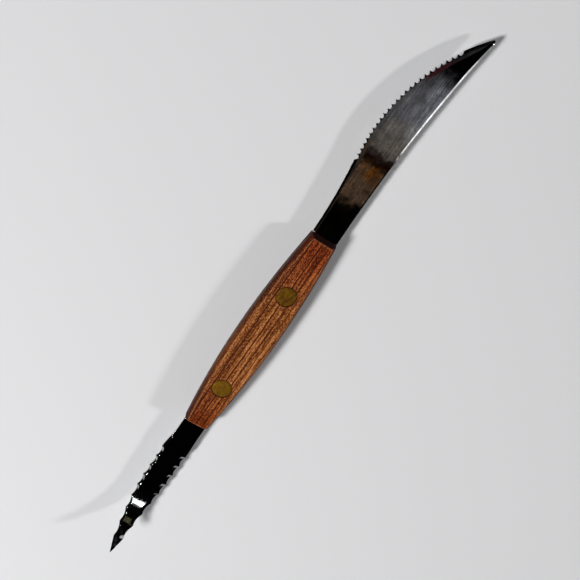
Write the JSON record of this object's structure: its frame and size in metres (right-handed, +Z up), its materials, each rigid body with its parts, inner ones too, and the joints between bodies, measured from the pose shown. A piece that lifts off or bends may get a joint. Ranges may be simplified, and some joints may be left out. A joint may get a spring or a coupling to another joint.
{
  "type": "grapefruit knife",
  "caption": "Double-ended grapefruit knife with a curved serrated blade, an upturned scalloped spear blade and a barrel-shaped wooden handle held by flush brass rivets.",
  "frame": {"origin": "middle of the lower scale's broad face, on which the knife lies", "axes": "+X along the handle to the serrated blade's tip, +Y to the side of the serrated edge, +Z up out of the broad face"},
  "size_m": [0.264, 0.0183, 0.0151],
  "materials": {
    "steel": "polished stainless steel with fine lengthwise grinding lines",
    "wood": "oiled reddish-brown hardwood with dark streaks along the grain",
    "brass": "tarnished, ground flush with the wood"
  },
  "bodies": {
    "root": {"blade_strip": "steel", "upper_scale": "wood", "lower_scale": "wood", "front_rivet_socket": "brass", "front_rivet_post": "brass", "rear_rivet_socket": "brass", "rear_rivet_post": "brass"}
  },
  "joints": []
}
